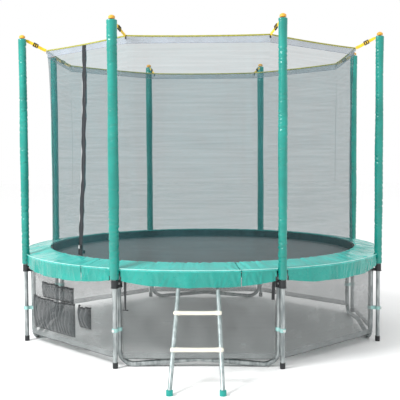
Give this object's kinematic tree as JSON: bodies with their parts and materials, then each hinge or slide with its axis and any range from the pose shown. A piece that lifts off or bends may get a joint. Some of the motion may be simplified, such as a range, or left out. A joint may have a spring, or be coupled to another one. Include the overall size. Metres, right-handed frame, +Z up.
{
  "type": "trampoline",
  "caption": "Round garden trampoline with an inner safety net on sleeved poles, a sprung mat, a padded cover, W-shaped legs, a leg skirt with shoe pockets and a hook-on ladder.",
  "frame": {"origin": "on the ground, at the middle of the whole object's footprint; the mat's centre is 271 mm behind it in +Y", "axes": "+Z up, -Y towards the ladder at the front, +X to the right seen from the front"},
  "size_m": [3.12, 3.662, 2.511],
  "materials": {
    "galvanised_tube": "hot-dip galvanised, dull silver with a faint spangle",
    "cap_plastic": "moulded orange-yellow plastic",
    "black_plastic": "moulded black plastic",
    "zinc_steel": "bright zinc plate",
    "spring_steel": "zinc-plated spring wire",
    "clamp_plastic": "pale grey-green plastic",
    "knob_plastic": "pale grey plastic",
    "sleeve_foam": "PVC-coated cloth over foam, semi-gloss teal",
    "pad_vinyl": "PVC-coated cloth over foam, semi-gloss teal",
    "black_webbing": "woven polypropylene webbing",
    "mat_fabric": "woven polypropylene mat cloth",
    "net_mesh": "fine see-through knitted mesh",
    "piping": "yellow-green bound edge",
    "yellow_webbing": "woven webbing",
    "buckle_plastic": "moulded black plastic",
    "zip_tape": "black zip tape with moulded teeth",
    "skirt_mesh": "grey see-through mesh",
    "pocket_mesh": "dark grey mesh with black binding",
    "ladder_tube": "light grey powder coat",
    "rung_plastic": "pale grey moulded tread",
    "boot_rubber": "teal rubber boot"
  },
  "bodies": {
    "root": {"top_rail_1": "galvanised_tube", "top_rail_2": "galvanised_tube", "top_rail_3": "galvanised_tube", "top_rail_4": "galvanised_tube", "top_rail_5": "galvanised_tube", "top_rail_6": "galvanised_tube", "top_rail_7": "galvanised_tube", "top_rail_8": "galvanised_tube", "tee_joints": "galvanised_tube", "leg_posts": "galvanised_tube", "w_leg_front": "galvanised_tube", "w_leg_right": "galvanised_tube", "w_leg_back": "galvanised_tube", "w_leg_left": "galvanised_tube", "lower_poles": "galvanised_tube", "upper_poles": "galvanised_tube", "pole_caps": "cap_plastic", "foot_caps": "black_plastic", "upper_brackets": "black_plastic", "bracket_bolts": "zinc_steel", "lower_clamps": "clamp_plastic", "clamp_bolts": "knob_plastic", "pole_sleeves": "sleeve_foam", "pad_1": "pad_vinyl", "pad_2": "pad_vinyl", "pad_3": "pad_vinyl", "pad_4": "pad_vinyl", "pad_5": "pad_vinyl", "pad_6": "pad_vinyl", "pad_7": "pad_vinyl", "pad_8": "pad_vinyl", "front_pad_skirt": "pad_vinyl", "pad_ties": "black_webbing", "springs": "spring_steel", "net_panel_1": "net_mesh", "net_panel_2": "net_mesh", "net_panel_3": "net_mesh", "net_panel_4": "net_mesh", "net_panel_5": "net_mesh", "net_panel_6": "net_mesh", "net_panel_7": "net_mesh", "net_panel_8": "net_mesh", "net_top_binding": "piping", "net_straps": "yellow_webbing", "strap_buckles": "buckle_plastic", "door_zip": "zip_tape", "leg_skirt": "skirt_mesh", "shoe_pockets": "pocket_mesh"},
    "ladder": {"ladder_rail_left": "ladder_tube", "ladder_rail_right": "ladder_tube", "ladder_rungs": "rung_plastic", "ladder_hooks": "zinc_steel", "ladder_feet": "boot_rubber"},
    "mat": {"mat": "mat_fabric", "mat_border": "black_webbing", "v_rings": "zinc_steel", "net_bottom_band": "black_webbing", "door_clip_socket": "buckle_plastic"},
    "zip_slider": {"zip_slider": "zinc_steel"},
    "door_clip_plug": {"door_clip_plug": "buckle_plastic"}
  },
  "joints": [
    {"name": "mat_bounce", "type": "slide", "parent": "root", "child": "mat", "axis": [0, 0, 1], "range_m": [-0.25, 0], "stiffness_N_per_m": 6000, "springref_m": 0.03, "deforming": ["springs"]},
    {"name": "ladder_lift", "type": "hinge", "parent": "root", "child": "ladder", "pos_m": [0, -1.22866, 0.675], "axis": [-1, 0, 0], "range_deg": [0, 40], "deforming": ["front_pad_skirt"]},
    {"name": "zip_run", "type": "slide", "parent": "root", "child": "zip_slider", "axis": [0.0275, 0.0275, 0.9992], "range_m": [0, 1.5]},
    {"name": "door_clip_release", "type": "slide", "parent": "mat", "child": "door_clip_plug", "axis": [-0.7071, 0.7071, 0], "range_m": [0, 0.03]}
  ]
}
